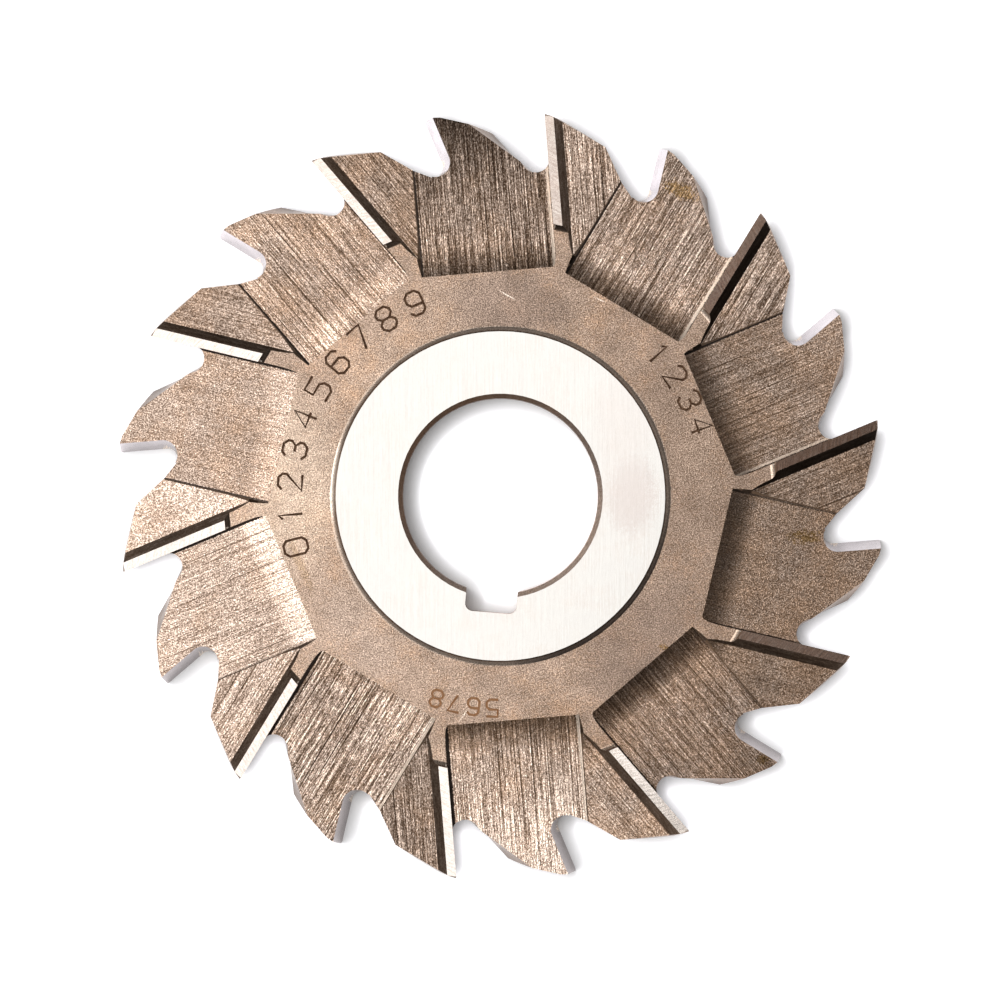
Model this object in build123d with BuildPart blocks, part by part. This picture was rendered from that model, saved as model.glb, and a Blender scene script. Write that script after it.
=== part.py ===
from build123d import *
from math import acos, cos, degrees, radians, sin, sqrt, tan
import os

# Side and face cutter, one solid of high-speed steel.
# The bore axis is Z and the middle of the width is Z = 0. The keyway points along -Y.
# Ten teeth lead at the front face (+Z) and ten, halfway between them, at the rear face.
# Seen from the front the cutter turns counter-clockwise. Lengths are in millimetres.

# Blank
outer_diameter = 100.0
cutter_width = 5.0
bore_diameter = 25.4
bore_chamfer = 0.6
tooth_corner_chamfer = 0.25
hub_diameter = 42.8
web_blend_radius = 0.9
recess_depth = 0.6
recess_diameter = 72.0

# Keyway, measured from the far side of the bore to its floor
keyway_width = 6.7
keyway_height = 27.9
keyway_corner_radius = 1.0

# Teeth, with angles in degrees
tooth_count = 20
first_tooth_angle = 88.45
rake_angle = 11.2
lean_angle = 16.0
primary_relief_angle = 11.0
primary_relief_width = 1.0
secondary_relief_angle = 24.0

# Gullets
gullet_depth = 7.65
gullet_root_radius = 1.9
gullet_angle = 30.0
back_foot_height = 1.45
back_foot_lead = 2.7
back_root_lead = 0.5
back_angle_leading = 65.0
back_angle_trailing = 45.0

# Side flute in front of each land, and the ground-away back behind it
flute_depth = 1.1
flute_width = 17.6
flute_undercut_angle = 15.0
flute_corner_radius = 0.65
flute_inner_distance = 29.15
land_width = 1.16
land_relief_angle = 1.5
back_depth = 0.97
back_wall_angle = 40.0
back_inner_distance = 29.95
grinding_wheel_radius = 15.0

# Room by which a cut runs past the metal
clearance = 1.0

# Derived sizes
outer_radius = outer_diameter / 2
half_width = cutter_width / 2
bore_radius = bore_diameter / 2
hub_radius = hub_diameter / 2
recess_radius = recess_diameter / 2
web_level = half_width - recess_depth
web_blend_angle = degrees(acos(1 - recess_depth / web_blend_radius))
web_blend_width = web_blend_radius * sin(radians(web_blend_angle))
web_inner_radius = hub_radius + web_blend_width
web_outer_radius = recess_radius - web_blend_width
pitch_angle = 360 / tooth_count
pair_count = tooth_count // 2
lean_slope = tan(radians(lean_angle))
root_circle_radius = outer_radius - gullet_depth
cut_radius = outer_radius + clearance
cut_level = half_width + clearance

# Each tooth cut is drawn with its tip on +Y and its leading side at the front face.
# In the rake frame v runs outward along the cutting face and u points away from it.
rake_frame = Plane.XY.rotated((0, 0, rake_angle))
rake_offset = outer_radius * sin(radians(rake_angle))
lean_direction = Vector(lean_slope, 0, -1)
lean_travel = 2 * cut_level / cos(radians(lean_angle))
lean_start = Vector(-lean_slope * clearance, 0, cut_level)


def leaning_plane(plane):
    """Plane raised above the front face and moved back along the lean of the tooth."""
    return Plane(plane.origin + lean_start, x_dir=plane.x_dir, z_dir=plane.z_dir)


def back_outline(level):
    """Corners of the gullet's back at a height: wall top, foot, root, and the top over the root."""
    blend = (1 - level / half_width) / 2
    wall_angle = back_angle_leading + (back_angle_trailing - back_angle_leading) * blend
    foot_radius = root_circle_radius + back_foot_height
    foot_turn = radians(pitch_angle) - back_foot_lead / foot_radius
    root_turn = radians(pitch_angle) - back_root_lead / root_circle_radius
    foot = (foot_radius * sin(foot_turn), foot_radius * cos(foot_turn))
    wall_top = (foot[0] - (cut_radius - foot[1]) / tan(radians(wall_angle)), cut_radius)
    root = (root_circle_radius * sin(root_turn), root_circle_radius * cos(root_turn))
    over_root = (cut_radius * sin(root_turn), cut_radius * cos(root_turn))
    return [wall_top, foot, root, over_root]


def wheel_path(floor_level, inner_distance):
    """Path of a grinding wheel: straight in from the rim, then up out of the web on its own radius."""
    depth = web_level - floor_level
    run_out = sqrt(grinding_wheel_radius**2 - (grinding_wheel_radius - depth) ** 2)
    rise_angle = degrees(acos(1 - (cut_level - floor_level) / grinding_wheel_radius))
    path_plane = Plane(rake_frame.origin, x_dir=rake_frame.y_dir, z_dir=rake_frame.x_dir)
    with BuildLine(path_plane, mode=Mode.PRIVATE) as path:
        straight = Line((cut_radius, floor_level), (inner_distance + run_out, floor_level))
        JernArc(straight @ 1, straight % 1, grinding_wheel_radius, -rise_angle)
    return path.line


# Cuts that shape one tooth leading at the front face
with BuildPart() as front_tooth_cut:
    # Cutting face and rounded root, leaning so that the front edge leads
    root_u = rake_offset - gullet_root_radius
    root_v = sqrt((root_circle_radius + gullet_root_radius) ** 2 - root_u**2)
    flank_direction = Vector(0, 1).rotate(Axis.Z, gullet_angle)
    flank_normal = Vector(-1, 0).rotate(Axis.Z, gullet_angle)
    flank_foot = Vector(root_u, root_v) + flank_normal * gullet_root_radius
    flank_length = (cut_radius - flank_foot.Y) / flank_direction.Y
    with BuildSketch(leaning_plane(rake_frame)):
        with BuildLine():
            face_line = Line((rake_offset, cut_radius), (rake_offset, root_v))
            root_arc = RadiusArc(face_line @ 1, flank_foot, gullet_root_radius)
            flank_line = Line(root_arc @ 1, flank_foot + flank_direction * flank_length)
            Line(flank_line @ 1, face_line @ 0)
        make_face()
    extrude(amount=lean_travel, dir=lean_direction)

    # Primary and secondary relief behind the cutting edge, with the same lean
    relief_reach = outer_radius * sin(radians(pitch_angle)) - back_foot_lead
    primary_drop = tan(radians(primary_relief_angle))
    secondary_drop = tan(radians(secondary_relief_angle))
    heel_y = outer_radius - primary_relief_width * primary_drop
    relief_end_y = heel_y - (relief_reach - primary_relief_width) * secondary_drop
    with BuildSketch(leaning_plane(Plane.XY)):
        with BuildLine():
            Polyline(
                (-clearance, outer_radius + clearance * primary_drop),
                (primary_relief_width, heel_y),
                (relief_reach, relief_end_y),
                (relief_reach, cut_radius),
                (-clearance, cut_radius),
                close=True,
            )
        make_face()
    extrude(amount=lean_travel, dir=lean_direction)

    # Back of the tooth, steeper where the tooth leads
    for level in (cut_level, -cut_level):
        with BuildSketch(Plane.XY.offset(level)):
            with BuildLine():
                Polyline(*back_outline(level), close=True)
            make_face()
    loft(ruled=True)

    # Section planes of the two grinding passes stand at the rim, square to the cutting face
    pass_start = rake_frame.from_local_coords((0, cut_radius))
    section_plane = Plane(pass_start, x_dir=rake_frame.x_dir, z_dir=-rake_frame.y_dir)

    # Side flute, with an undercut wall below the side cutting edge
    flute_floor = half_width - flute_depth
    undercut_slope = tan(radians(flute_undercut_angle))
    flute_left = rake_offset - flute_width
    with BuildSketch(section_plane) as flute_section:
        with BuildLine():
            Polyline(
                (flute_left, flute_floor),
                (rake_offset + flute_depth * undercut_slope, flute_floor),
                (rake_offset - clearance * undercut_slope, cut_level),
                (flute_left - (cut_level - flute_floor), cut_level),
                close=True,
            )
        make_face()
        wall_foot = flute_section.vertices().sort_by(Axis.X)[-1]
        fillet(wall_foot, flute_corner_radius)
    sweep(path=wheel_path(flute_floor, flute_inner_distance))

    # Side relief of the land, then a slope down to the back behind it
    back_floor = half_width - back_depth
    land_slope = tan(radians(land_relief_angle))
    land_heel = half_width - land_width * land_slope
    slope_width = (land_heel - back_floor) / tan(radians(back_wall_angle))
    back_left = rake_offset + land_width + slope_width
    back_right = back_left + relief_reach
    with BuildSketch(section_plane):
        with BuildLine():
            Polyline(
                (rake_offset - clearance, half_width + clearance * land_slope),
                (rake_offset + land_width, land_heel),
                (back_left, back_floor),
                (back_right, back_floor),
                (back_right, cut_level),
                (rake_offset - clearance, cut_level),
                close=True,
            )
        make_face()
    sweep(path=wheel_path(back_floor, back_inner_distance))

# Cuts that shape one tooth leading at the rear face
with BuildPart() as rear_tooth_cut:
    mirror(front_tooth_cut.part, about=Plane.XY)

with BuildPart() as cutter:
    # Blank turned in one piece: bore, hub, recessed web and rim
    with BuildSketch(Plane.XZ):
        with BuildLine():
            Polyline(
                (bore_radius, 0),
                (bore_radius, half_width - bore_chamfer),
                (bore_radius + bore_chamfer, half_width),
                (hub_radius, half_width),
            )
            JernArc(
                (web_inner_radius, web_level),
                (-1, 0),
                web_blend_radius,
                -web_blend_angle,
            )
            Line((web_inner_radius, web_level), (web_outer_radius, web_level))
            JernArc(
                (web_outer_radius, web_level),
                (1, 0),
                web_blend_radius,
                web_blend_angle,
            )
            Polyline(
                (recess_radius, half_width),
                (outer_radius - tooth_corner_chamfer, half_width),
                (outer_radius, half_width - tooth_corner_chamfer),
                (outer_radius, 0),
            )
            mirror(about=Plane.XZ)
        make_face()
    revolve(axis=Axis.Z)

    # Keyway through the full width
    with BuildSketch(Plane.XY.offset(-half_width)) as keyway:
        keyway_floor_y = bore_radius - keyway_height
        with Locations((0, keyway_floor_y / 2)):
            Rectangle(keyway_width, -keyway_floor_y)
        fillet(keyway.vertices().group_by(Axis.Y)[0], keyway_corner_radius)
    extrude(amount=cutter_width, mode=Mode.SUBTRACT)

    # Teeth, alternately leading at the front and at the rear
    with PolarLocations(0, pair_count, start_angle=first_tooth_angle - 90):
        add(front_tooth_cut.part, mode=Mode.SUBTRACT)
    with PolarLocations(0, pair_count, start_angle=first_tooth_angle - 90 + pitch_angle):
        add(rear_tooth_cut.part, mode=Mode.SUBTRACT)

cutter.part.label = "side_and_face_cutter"

os.makedirs("parts", exist_ok=True)
export_step(cutter.part, "parts/side_and_face_cutter.step")
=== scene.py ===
"""Looks of a staggered-tooth side and face cutter, lying on a pale floor under soft studio light."""

import logging
import math
from dataclasses import dataclass, replace
from enum import Enum, IntEnum

import bmesh
import bpy
import numpy as np
from mathutils import Matrix, Vector


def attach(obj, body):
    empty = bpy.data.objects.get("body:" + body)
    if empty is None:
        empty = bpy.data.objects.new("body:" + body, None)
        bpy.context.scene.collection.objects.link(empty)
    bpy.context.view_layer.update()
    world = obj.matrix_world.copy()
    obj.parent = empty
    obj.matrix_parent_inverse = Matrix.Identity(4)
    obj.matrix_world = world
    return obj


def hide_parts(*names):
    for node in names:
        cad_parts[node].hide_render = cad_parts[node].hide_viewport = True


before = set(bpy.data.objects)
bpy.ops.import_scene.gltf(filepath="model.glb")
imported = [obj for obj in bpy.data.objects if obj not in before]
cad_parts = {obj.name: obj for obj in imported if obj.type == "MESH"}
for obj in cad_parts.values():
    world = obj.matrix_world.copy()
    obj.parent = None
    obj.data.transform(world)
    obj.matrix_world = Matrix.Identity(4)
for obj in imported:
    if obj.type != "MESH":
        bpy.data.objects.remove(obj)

LOG = logging.getLogger("side_and_face_cutter")
MM = 0.001
NODE = "side_and_face_cutter"
BODY = "root"
GRIND_MAP = "grind"
TOOTH_FINISH_AND_LIGHT = "tooth_finish_and_light"
TOOTH_SEAMS = "tooth_seams"
MAP_STEP = 60.0  # From one tooth to the next on the grinding map, in millimetres
NOISE_GAIN = 8.0  # Brings Blender's noise, which stays near its middle, to about 1 either way

Colour = tuple[float, float, float]
Point = tuple[float, float]
Ten = tuple[float, ...]
Rows = np.ndarray
Material = bpy.types.Material
Socket = bpy.types.NodeSocket
Value = "float | Signal"
Paint = "Colour | Socket"
Turned = "Rows | Signal"


def add_object(name: str, data: bpy.types.ID) -> bpy.types.Object:
    """Makes an object of a mesh, a light or a camera and puts it in the scene.

    Args:
        name: Name of the object.
        data: The mesh, light or camera.

    Returns:
        The object.
    """
    made = bpy.data.objects.new(name, data)
    bpy.context.scene.collection.objects.link(made)
    return made


def read(items: bpy.types.bpy_prop_collection, name: str, width: int = 1) -> Rows:
    """Reads one property of each vertex, corner or face of a mesh.

    Args:
        items: The vertices, corners or faces.
        name: Name of the property.
        width: How many numbers it has.

    Returns:
        Whole numbers, or rows of numbers where there is more than one.
    """
    values = np.zeros(len(items) * width, np.int32 if width == 1 else np.float32)
    items.foreach_get(name, values)
    return values if width == 1 else values.reshape(-1, width).astype(float)


def within(values: Rows, low: float, high: float) -> Rows:
    """Tells which values lie between low and high."""
    return (values > low) & (values < high)


def turned(x: Turned, y: Turned, angle: float) -> tuple[Turned, Turned]:
    """Gives a place along axes that are turned by an angle in radians."""
    c, s = math.cos(angle), math.sin(angle)
    return x * c + y * s, y * c - x * s


class Zone(IntEnum):
    """Surfaces with a finish of their own. The value is the material's place on the mesh."""

    HUB = 0
    WEB = 1
    LAND = 2
    SLOPE = 3
    BACK = 4
    FLUTE = 5
    UNDERCUT = 6
    FACE = 7
    RIM = 8
    GULLET = 9
    BORE = 10
    EDGE = 11
    MARK = 12
    BLEND = 13


class Side(Enum):
    """The side of the cutter that a tooth leads on."""

    FRONT = 1
    REAR = -1


@dataclass(frozen=True)
class ToothFrame:
    """Turns points of the cutter, in millimetres, into one tooth's own directions.

    Across runs square to the cutting face, in the sense of the tooth's back. Along runs outward
    in the cutting face.
    """

    side: Side
    index: int
    first_angle: float = 88.45
    pitch_angle: float = 18.0
    rake_angle: float = 11.2

    @property
    def turn(self) -> float:
        """Angle in radians from the across direction to the cutter's X axis."""
        staggered = 0.0 if self.side is Side.FRONT else 1.0
        tip = self.first_angle - self.pitch_angle * (2 * self.index - staggered)
        return math.radians(tip - 90.0 + self.rake_angle)

    def local(self, points: Rows) -> Rows:
        """Gives points or directions along the tooth's own axes.

        Args:
            points: Rows of x, y and z.

        Returns:
            Rows of across, along and height, where height grows out of the tooth's side.
        """
        across, along = turned(points[:, 0], points[:, 1], self.turn)
        return np.stack([across, along, points[:, 2] * self.side.value], axis=1)


class Signal:
    """A number socket of a node tree. Arithmetic on it adds Math nodes."""

    def __init__(self, tree: "Tree", socket: Socket) -> None:
        """Keeps the socket and the tree that it belongs to."""
        self.tree = tree
        self.socket = socket

    def _math(self, operation: str, *values: Value, clamp: bool = False) -> "Signal":
        """Adds one Math node.

        Args:
            operation: Name of the node's operation.
            values: Numbers or signals in the order of the node's sockets.
            clamp: Whether the result is held between 0 and 1.

        Returns:
            The result.
        """
        settings = {"operation": operation, "use_clamp": clamp}
        made = self.tree.add("ShaderNodeMath", settings, dict(enumerate(values)))
        return Signal(self.tree, made.outputs[0])

    def __add__(self, other: Value) -> "Signal":
        """Sum."""
        return self._math("ADD", self, other)

    __radd__ = __add__

    def __sub__(self, other: Value) -> "Signal":
        """Difference."""
        return self._math("SUBTRACT", self, other)

    def __rsub__(self, other: Value) -> "Signal":
        """Difference from a number."""
        return self._math("SUBTRACT", other, self)

    def __mul__(self, other: Value) -> "Signal":
        """Product."""
        return self._math("MULTIPLY", self, other)

    __rmul__ = __mul__

    def __truediv__(self, other: Value) -> "Signal":
        """Quotient."""
        return self._math("DIVIDE", self, other)

    def __pow__(self, other: Value) -> "Signal":
        """Power."""
        return self._math("POWER", self, other)

    def least(self, other: Value) -> "Signal":
        """The smaller of two."""
        return self._math("MINIMUM", self, other)

    def most(self, other: Value) -> "Signal":
        """The larger of two."""
        return self._math("MAXIMUM", self, other)

    def exp(self) -> "Signal":
        """Number e to this power."""
        return self._math("EXPONENT", self)

    def wrapped(self, period: float) -> "Signal":
        """What is left over whole periods."""
        return self._math("MODULO", self, period)

    def held(self) -> "Signal":
        """The signal held between 0 and 1."""
        return self._math("ADD", self, 0.0, clamp=True)

    def step(self, low: float, high: float) -> "Signal":
        """Rises smoothly from 0 at low to 1 at high, or falls where low is the larger.

        Args:
            low: Where the result is 0.
            high: Where the result is 1.

        Returns:
            The result.
        """
        settings = {"interpolation_type": "SMOOTHSTEP"}
        start, end, first, last = (low, high, 0.0, 1.0) if low < high else (high, low, 1.0, 0.0)
        inputs = {"Value": self, "From Min": start, "From Max": end, "To Min": first, "To Max": last}
        return Signal(self.tree, self.tree.add("ShaderNodeMapRange", settings, inputs).outputs[0])


class Tree:
    """A node tree. Each of its nodes comes from add."""

    def __init__(self, tree: bpy.types.NodeTree) -> None:
        """Starts with no nodes."""
        self.tree = tree
        self.tree.nodes.clear()

    def add(self, kind: str, settings: dict | None = None, inputs: dict | None = None) -> bpy.types.Node:
        """Adds a node.

        Args:
            kind: The node's type.
            settings: Its properties, which are set before its sockets are filled.
            inputs: Values, signals or sockets by the socket's name, identifier or place.

        Returns:
            The node.
        """
        made = self.tree.nodes.new(kind)
        for name, value in (settings or {}).items():
            setattr(made, name, value)
        for key, value in (inputs or {}).items():
            target = made.inputs[key] if isinstance(key, int) else self._socket(made, key)
            if isinstance(value, Signal):
                value = value.socket
            if isinstance(value, Socket):
                self.tree.links.new(value, target)
            else:
                target.default_value = value
        return made

    @staticmethod
    def _socket(owner: bpy.types.Node, key: str) -> Socket:
        """Finds an input by its identifier or, failing that, by its name."""
        found = [s for s in owner.inputs if s.identifier == key]
        return found[0] if found else owner.inputs[key]

    def parts(self, vector: Socket) -> tuple[Signal, Signal, Signal]:
        """Splits a vector into its three numbers."""
        made = self.add("ShaderNodeSeparateXYZ", None, {"Vector": vector})
        return tuple(Signal(self, made.outputs[axis]) for axis in "XYZ")


class Shader(Tree):
    """The nodes of a material or a world, written as expressions."""

    def __init__(self, owner: "Material | bpy.types.World") -> None:
        """Starts with no nodes.

        Args:
            owner: The material or world that they are for.
        """
        owner.use_nodes = True
        super().__init__(owner.node_tree)
        self.owner = owner

    def grind_point(self) -> tuple[Signal, Signal]:
        """Gives the place on the grinding map, in millimetres across and along the marks."""
        return self.parts(self.add("ShaderNodeUVMap", {"uv_map": GRIND_MAP}).outputs["UV"])[:2]

    def object_point(self) -> tuple[Signal, Signal, Signal]:
        """Gives the place on the object, in millimetres."""
        place = self.add("ShaderNodeTexCoord").outputs["Object"]
        return tuple(part / MM for part in self.parts(place))

    def vector(self, x: Value, y: Value, z: Value = 0.0) -> Socket:
        """Joins three numbers into a vector."""
        return self.add("ShaderNodeCombineXYZ", None, {"X": x, "Y": y, "Z": z}).outputs["Vector"]

    def noise(self, place: Socket, scale: float, detail: float = 1.0, rough: float = 0.5) -> Signal:
        """Gives smooth noise about 0, mostly between -1.5 and 1.5.

        Args:
            place: Where the noise is read.
            scale: Waves for each unit of place.
            detail: Finer waves that are added, in octaves.
            rough: Share of each finer octave.

        Returns:
            The noise.
        """
        inputs = {"Vector": place, "Scale": scale, "Detail": detail, "Roughness": rough}
        made = self.add("ShaderNodeTexNoise", {"noise_dimensions": "3D"}, inputs)
        return (Signal(self, made.outputs["Fac"]) - 0.5) * NOISE_GAIN

    def attribute(self, name: str) -> tuple[Signal, Signal, Signal]:
        """Gives the three parts of a vector that the mesh carries."""
        made = self.add("ShaderNodeAttribute", {"attribute_type": "GEOMETRY", "attribute_name": name})
        return self.parts(made.outputs["Vector"])

    def mix(self, first: Paint, second: Paint, share: Value, blend: str = "MIX") -> Socket:
        """Mixes two colours.

        Args:
            first: Colour where share is 0.
            second: Colour where share is 1.
            share: How much of the second shows.
            blend: The Mix node's way of blending.

        Returns:
            The mixed colour.
        """
        settings = {"data_type": "RGBA", "blend_type": blend, "clamp_factor": True}
        colours = [c if isinstance(c, Socket) else (*c, 1.0) for c in (first, second)]
        inputs = {"Factor_Float": share, "A_Color": colours[0], "B_Color": colours[1]}
        made = self.add("ShaderNodeMix", settings, inputs)
        return next(s for s in made.outputs if s.identifier == "Result_Color")

    def scaled(self, colour: Paint, amount: Signal) -> Socket:
        """Makes a colour lighter or darker by a factor."""
        grey = self.add("ShaderNodeCombineColor", None, dict.fromkeys(("Red", "Green", "Blue"), amount))
        return self.mix(colour, grey.outputs["Color"], 1.0, "MULTIPLY")

    def metal(self, colour: Socket, roughness: Value, height: Signal, metallic: float = 1.0) -> Material:
        """Finishes the material as bare metal.

        Args:
            colour: The metal's colour.
            roughness: How blurred its reflections are.
            height: Relief of the surface, in millimetres.
            metallic: Share of bare metal under what lies on it.

        Returns:
            The material.
        """
        bump = self.add("ShaderNodeBump", None, {"Strength": 1.0, "Distance": MM, "Height": height})
        inputs = {"Base Color": colour, "Roughness": roughness, "Metallic": metallic,
                  "Specular IOR Level": 0.5 * metallic, "Normal": bump.outputs["Normal"]}
        surface = self.add("ShaderNodeBsdfPrincipled", None, inputs)
        self.add("ShaderNodeOutputMaterial", None, {"Surface": surface.outputs["BSDF"]})
        return self.owner


@dataclass(frozen=True)
class Marks:
    """Grinding marks: fine lines along a surface, broken up into beads.

    Attributes:
        width: Spacing of the lines, in millimetres.
        length: Usual length of a line, in millimetres.
        relief: Height of the lines, in millimetres.
        shade: How strongly the lines darken and lighten the metal.
        bead: How strongly the lines break up along their length.
        bead_length: Length of a piece of a broken line, in millimetres.
        score: How dark the few deep lines are.
    """

    width: float
    length: float
    relief: float
    shade: float
    bead: float = 0.6
    bead_length: float = 0.36
    score: float = 0.4

    def signal(self, shader: Shader, across: Signal, along: Signal) -> Signal:
        """Gives the lines as noise about 0 that is drawn out along the marks.

        Args:
            shader: Shader of the ground surface.
            across: Place across the marks, in millimetres.
            along: Place along the marks, in millimetres.

        Returns:
            The lines, with crests above 0 and grooves below.
        """
        place = across / self.width
        deep = shader.noise(shader.vector(place / 1.3, along / (2.0 * self.length), 13.0), 1.0, 0.0)
        total = (1.2 - deep.most(1.2)) * self.score
        layers = (  # Share, place across, length of a line, seed and roughness
            (0.75, place, self.length, 3.0, 0.6),
            (0.1, place / 5.0, self.length, 7.0, 0.5),
            (0.5, place, 4.0 * self.bead_length, 5.0, 0.6),
            (self.bead, place * 1.4, self.bead_length, 11.0, 0.6),
        )
        for share, where, length, seed, rough in layers:
            total += shader.noise(shader.vector(where, along / length, seed), 1.0, 1.0, rough) * share
        return total


# Besides stains, rust and scratches, these patches also paint light and shade: pale where the lamp falls,
# dark where it does not
@dataclass(frozen=True)
class StainOrShade:
    """A stain, patch or scratch at one place on the front of the cutter.

    Attributes:
        x: Middle, in millimetres.
        y: Middle, in millimetres.
        length: Reach along its direction, in millimetres.
        width: Reach across it, in millimetres.
        angle: Direction in degrees from X.
        colour: Its colour.
        cover: How much of the metal it hides.
        rag: How ragged its edge is.
    """

    x: float
    y: float
    length: float
    width: float
    angle: float
    colour: Colour
    cover: float = 0.6
    rag: float = 0.35

    def signal(self, x: Signal, y: Signal, noise: Signal) -> Signal:
        """Gives how much the stain hides.

        Args:
            x: Place on the object, in millimetres.
            y: Place on the object, in millimetres.
            noise: Noise that makes its edge ragged.

        Returns:
            The share that it hides, which fades to 0 away from its middle.
        """
        along, across = turned(x - self.x, y - self.y, math.radians(self.angle))
        along, across = along / self.length, across / self.width
        reach = along * along + across * across
        return (reach + noise * self.rag).step(1.0, 0.1) * self.cover


@dataclass(frozen=True)
class Seams:
    """Lines along the two borders of a flute. The mesh carries their strengths, tooth by tooth.

    Attributes:
        pale: Colour of a painted highlight, a pale strip where a border faces the lamp.
        dark: Colour of painted shade, a dark line where a border faces away from the lamp.
        edge: Place of the land's edge, in millimetres across the tooth.
        far: Place of the flute's other border, in millimetres across the tooth.
        far_middle: Where along the tooth that place is measured, in millimetres.
        far_slope: How far the other border moves across for each millimetre inward.
        stray: How far the lines stray, in millimetres.
    """

    pale: Colour = (0.60, 0.49, 0.40)
    dark: Colour = (0.015, 0.011, 0.009)
    edge: float = 9.712
    far: float = -7.68
    far_middle: float = 37.0
    far_slope: float = 0.008
    stray: float = 0.03

    def paint(self, shader: Shader, colour: Socket, across: Signal, along: Signal,
              noise: Signal) -> Socket:
        """Draws the lines over a colour.

        Args:
            shader: Shader of the flute.
            colour: Colour that they are drawn on.
            across: Place on the grinding map, across the marks.
            along: Place on the grinding map, along the marks.
            noise: Noise that roughens the lines.

        Returns:
            The colour with the lines.
        """
        # Painted highlight and shade: a pale strip beside the land's edge, a dark line at it, and a line at
        # the other border that is dark or pale by the sign of its strength
        strip, line, seam = shader.attribute(TOOTH_SEAMS)
        local = (across + MAP_STEP / 3).wrapped(MAP_STEP) - MAP_STEP / 3 + noise * self.stray
        near = local - self.edge
        colour = shader.mix(colour, self.pale, near.step(-0.5, -0.38) * strip)
        colour = shader.mix(colour, self.dark, (near + line).step(-0.05, 0.05))
        past = self.far - local + (self.far_middle - along) * self.far_slope
        colour = shader.mix(colour, self.pale, past.step(-0.2, -0.08) * (0.0 - seam))
        return shader.mix(colour, self.dark, past.step(-0.07, 0.03) * seam)


@dataclass(frozen=True)
class SteelFinish:
    """High-speed steel with grinding marks, a fine grain and clouds of tarnish.

    Attributes:
        name: Name of the material.
        colour: The metal's own colour.
        tarnish: Colour of its brown film.
        film: How much of the film shows on average.
        roughness: How blurred its reflections are.
        marks: Its grinding marks.
        grain: Size of the fine grain, in millimetres.
        grain_relief: Height of the grain, in millimetres.
        grain_shade: How strongly the grain darkens and lightens the metal.
        cloud: Size of the clouds of tarnish, in millimetres.
        cloud_shade: How strongly the clouds darken and lighten the metal.
        cloud_film: How much of the film the clouds bring.
        groove_film: How much of the film dark grooves bring.
        golden: How much of a golden film the clouds bring.
        shade_browning: How much of the film a low tone brings, so that painted shade also
        browns the metal.
        lean: Slope of the surface across the marks, as the wheel left it.
        painted_light_gradient: Painted light and shade: how much lighter the metal grows for each
        millimetre along X and along Y.
        metallic: Share of bare metal, where the rest is matt scale.
        streaks: How far the marks draw out the edges of the stains and painted shade patches.
        stains_and_shade: Stains, and patches of painted light and shade, on its front side.
        seams: Painted highlight and shade lines along its borders.
        bare: Colour of the crests that rubbing has bared; where the tone is above 1 it also
        whitens the metal as painted highlight.
    """

    name: str
    colour: Colour
    tarnish: Colour
    film: float
    roughness: float
    marks: Marks
    grain: float = 0.16
    grain_relief: float = 0.004
    grain_shade: float = 0.16
    cloud: float = 4.0
    cloud_shade: float = 0.08
    cloud_film: float = 0.08
    groove_film: float = 0.95
    golden: float = 0.12
    shade_browning: float = 0.55
    lean: float = 0.0
    painted_light_gradient: Point = (0.0, 0.0)
    metallic: float = 1.0
    streaks: float = 0.0
    stains_and_shade: tuple[StainOrShade, ...] = ()
    seams: Seams | None = None
    bare: Colour | None = None

    def material(self) -> Material:
        """Builds the material.

        Returns:
            The material.
        """
        shader = Shader(bpy.data.materials.new(self.name))
        across, along = shader.grind_point()
        x, y, z = shader.object_point()
        place, flat_place = shader.vector(x, y, z), shader.vector(x, y)
        strength, tone, gold = shader.attribute(TOOTH_FINISH_AND_LIGHT)
        lines = self.marks.signal(shader, across, along)
        grain = shader.noise(place, 1.0 / self.grain, 1.5, 0.7)
        cloud = shader.noise(place, 1.0 / self.cloud, 3.0, 0.6)
        # Strong lines leave less of the grain
        sand = (1.25 - strength * 0.35).most(0.5) if self.bare else 1.0
        shade = lines * strength * self.marks.shade + grain * sand * self.grain_shade
        shade += cloud * self.cloud_shade
        # Painted light and shade: the metal grows lighter or darker across the cutter by its place
        if any(self.painted_light_gradient):
            shade = shade + x * self.painted_light_gradient[0] + y * self.painted_light_gradient[1]
        film = self.film + cloud * self.cloud_film - shade * self.groove_film
        # A low tone, which paints shade, also browns the metal
        film = (film + (1.0 - tone) * self.shade_browning).held()
        colour = shader.mix(self.colour, self.tarnish, film)
        # Wide golden patches, broken up by small ones
        patches = shader.noise(place, 0.2, 2.0, 0.6) + shader.noise(place, 2.6, 1.0, 0.6) * 0.6
        colour = shader.mix(colour, GOLDEN, ((gold + patches * 0.5) * self.golden).held())
        # Bare crests show on the light grinding lines; a tone above 1 also whitens the metal as painted
        # highlight
        if self.bare:
            colour = shader.mix(colour, self.bare, (shade * 0.6 + (tone - 1.0)).held())
        # The edges of the stains and of the painted light and shade patches are ragged, and drawn out along
        # the marks
        rag = shader.noise(flat_place, 1.6) * 0.6 + shader.noise(flat_place, 5.5) + lines * self.streaks
        front = z.step(0.0, 0.5)
        for spot in self.stains_and_shade:
            colour = shader.mix(colour, spot.colour, spot.signal(x, y, rag) * front)
        # The tone scales the colour: painted light and shade, surface by surface and tooth by tooth
        colour = shader.scaled(colour, (shade.exp() * tone).least(1.0 / max(self.colour)))
        # Painted highlight and shade along the flute's borders
        if self.seams:
            colour = self.seams.paint(shader, colour, across, along, rag)
        roughness = (self.roughness + film * 0.08 + lines * 0.01).held()
        height = lines * strength * self.marks.relief + grain * self.grain_relief
        if self.lean:
            height -= across * self.lean
        return shader.metal(colour, roughness, height, self.metallic)


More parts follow.
